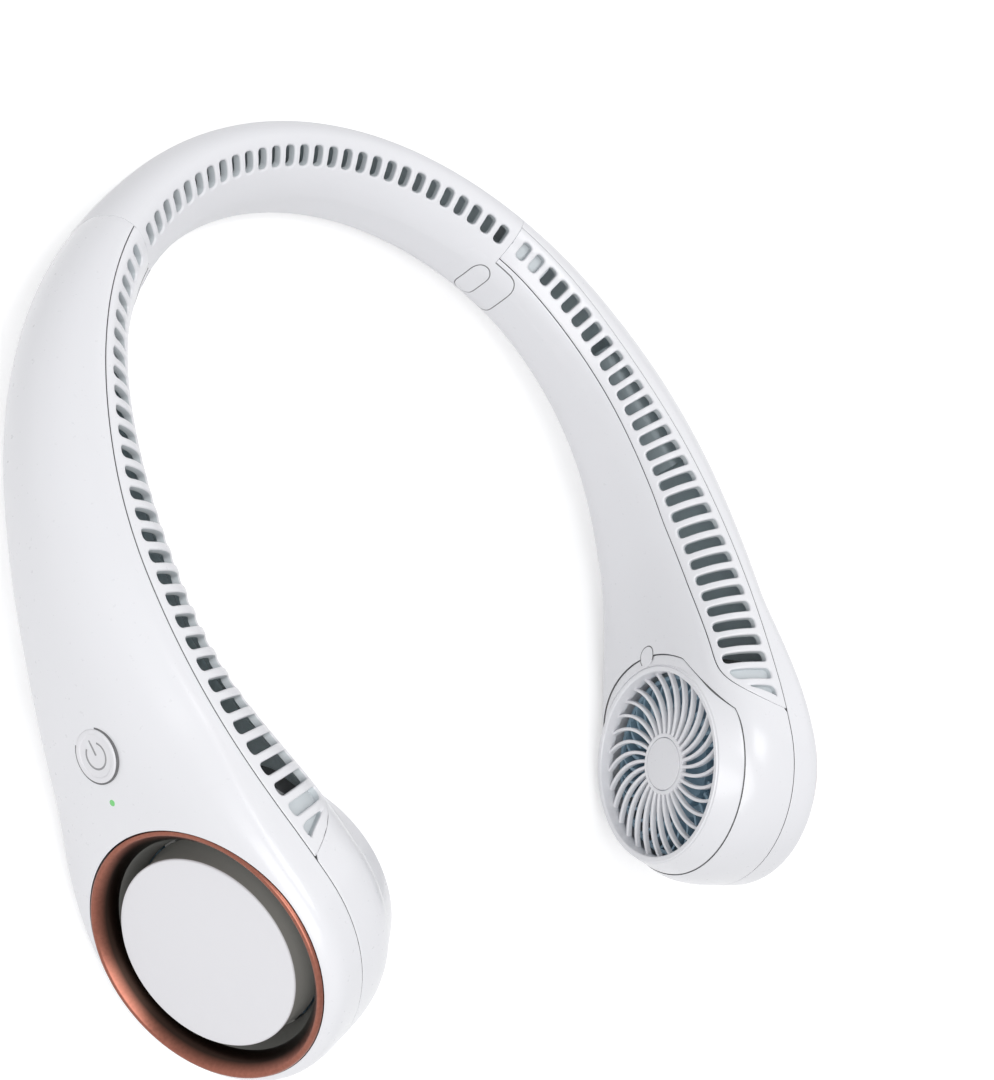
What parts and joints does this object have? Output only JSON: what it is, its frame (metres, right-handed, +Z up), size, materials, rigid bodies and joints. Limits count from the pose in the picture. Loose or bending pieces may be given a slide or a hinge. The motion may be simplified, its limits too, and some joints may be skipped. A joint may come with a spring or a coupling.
{
  "type": "electric neck fan",
  "caption": "White electric neck fan: a soft slotted band joins hollow arms with air slots, each ending in a round pod with a copper intake ring and a swirl grille over a small fan.",
  "frame": {"origin": "middle of the bounding box, on the level that the band's underside and both pods stand on", "axes": "+Z up, -Y to the open front between the pods, X across from arm to arm, left arm at -X as in the picture"},
  "size_m": [0.2046, 0.2064, 0.0616],
  "materials": {
    "white_shell": "gloss",
    "white_band": "satin",
    "white_disc": "satin",
    "grey_plastic": "satin",
    "copper_trim": "satin",
    "fan_plastic": "satin",
    "steel": "satin",
    "bush": "satin",
    "winding": "satin",
    "magnet": "matte",
    "cell": "satin",
    "board": "satin",
    "board_part": "matte",
    "wire": "matte",
    "green_light": "gloss"
  },
  "bodies": {
    "band": {"band_sleeve": "white_band", "band_wires": "wire"},
    "right_arm": {"right_outer_shell": "white_shell", "right_inner_shell": "white_shell", "right_vent_strip": "white_shell", "right_band_end": "white_band", "right_band_anchor": "white_shell", "right_anchor_peg": "white_shell", "right_wire_end": "wire", "right_battery_cell": "cell", "right_intake_ring": "copper_trim", "right_intake_funnel": "grey_plastic", "right_intake_cap": "white_disc", "right_motor_bracket": "grey_plastic", "right_bracket_screws": "steel", "right_motor_bearings": "bush", "right_stator_core": "steel", "right_stator_coils": "winding"},
    "right_rotor": {"right_impeller": "fan_plastic", "right_rotor_can": "steel", "right_magnet_ring": "magnet", "right_motor_shaft": "steel"},
    "right_cover": {"right_grille_cover": "white_shell", "right_grille_hub_cap": "white_shell"},
    "left_arm": {"left_outer_shell": "white_shell", "left_inner_shell": "white_shell", "left_vent_strip": "white_shell", "left_band_end": "white_band", "left_band_anchor": "white_shell", "left_anchor_peg": "white_shell", "left_wire_end": "wire", "left_battery_cell": "cell", "left_intake_ring": "copper_trim", "left_intake_funnel": "grey_plastic", "left_intake_cap": "white_disc", "left_motor_bracket": "grey_plastic", "left_bracket_screws": "steel", "left_motor_bearings": "bush", "left_stator_core": "steel", "left_stator_coils": "winding", "light_pipe": "green_light", "main_board": "board", "tact_switch": "board_part", "charging_socket": "steel"},
    "left_rotor": {"left_impeller": "fan_plastic", "left_rotor_can": "steel", "left_magnet_ring": "magnet", "left_motor_shaft": "steel"},
    "left_cover": {"left_grille_cover": "white_shell", "left_grille_hub_cap": "white_shell"},
    "button": {"power_button": "white_disc"}
  },
  "joints": [
    {"name": "right_arm_flex", "type": "hinge", "parent": "band", "child": "right_arm", "pos_m": [0.04297, 0.08452, 0.01429], "axis": [0, 0.1707, 0.9853], "range_deg": [-5, 14], "stiffness_Nm_per_rad": 2.5, "deforming": ["right_band_end", "right_wire_end"]},
    {"name": "left_arm_flex", "type": "hinge", "parent": "band", "child": "left_arm", "pos_m": [-0.04297, 0.08452, 0.01429], "axis": [0, -0.1707, -0.9853], "range_deg": [-5, 14], "stiffness_Nm_per_rad": 2.5, "deforming": ["left_band_end", "left_wire_end"]},
    {"name": "right_fan_spin", "type": "hinge", "parent": "right_arm", "child": "right_rotor", "pos_m": [0.07879, -0.07293, 0.03123], "axis": [0.944, -0.2752, 0.1819], "continuous": true},
    {"name": "left_fan_spin", "type": "hinge", "parent": "left_arm", "child": "left_rotor", "pos_m": [-0.07879, -0.07293, 0.03123], "axis": [-0.944, -0.2752, 0.1819], "continuous": true},
    {"name": "right_cover_pull", "type": "slide", "parent": "right_arm", "child": "right_cover", "axis": [-0.944, 0.2752, -0.1819], "range_m": [0, 0.02]},
    {"name": "left_cover_pull", "type": "slide", "parent": "left_arm", "child": "left_cover", "axis": [0.944, 0.2752, -0.1819], "range_m": [0, 0.02]},
    {"name": "power_press", "type": "slide", "parent": "left_arm", "child": "button", "axis": [0.9864, 0.1114, -0.1209], "range_m": [0, 0.0005], "stiffness_N_per_m": 1500}
  ]
}
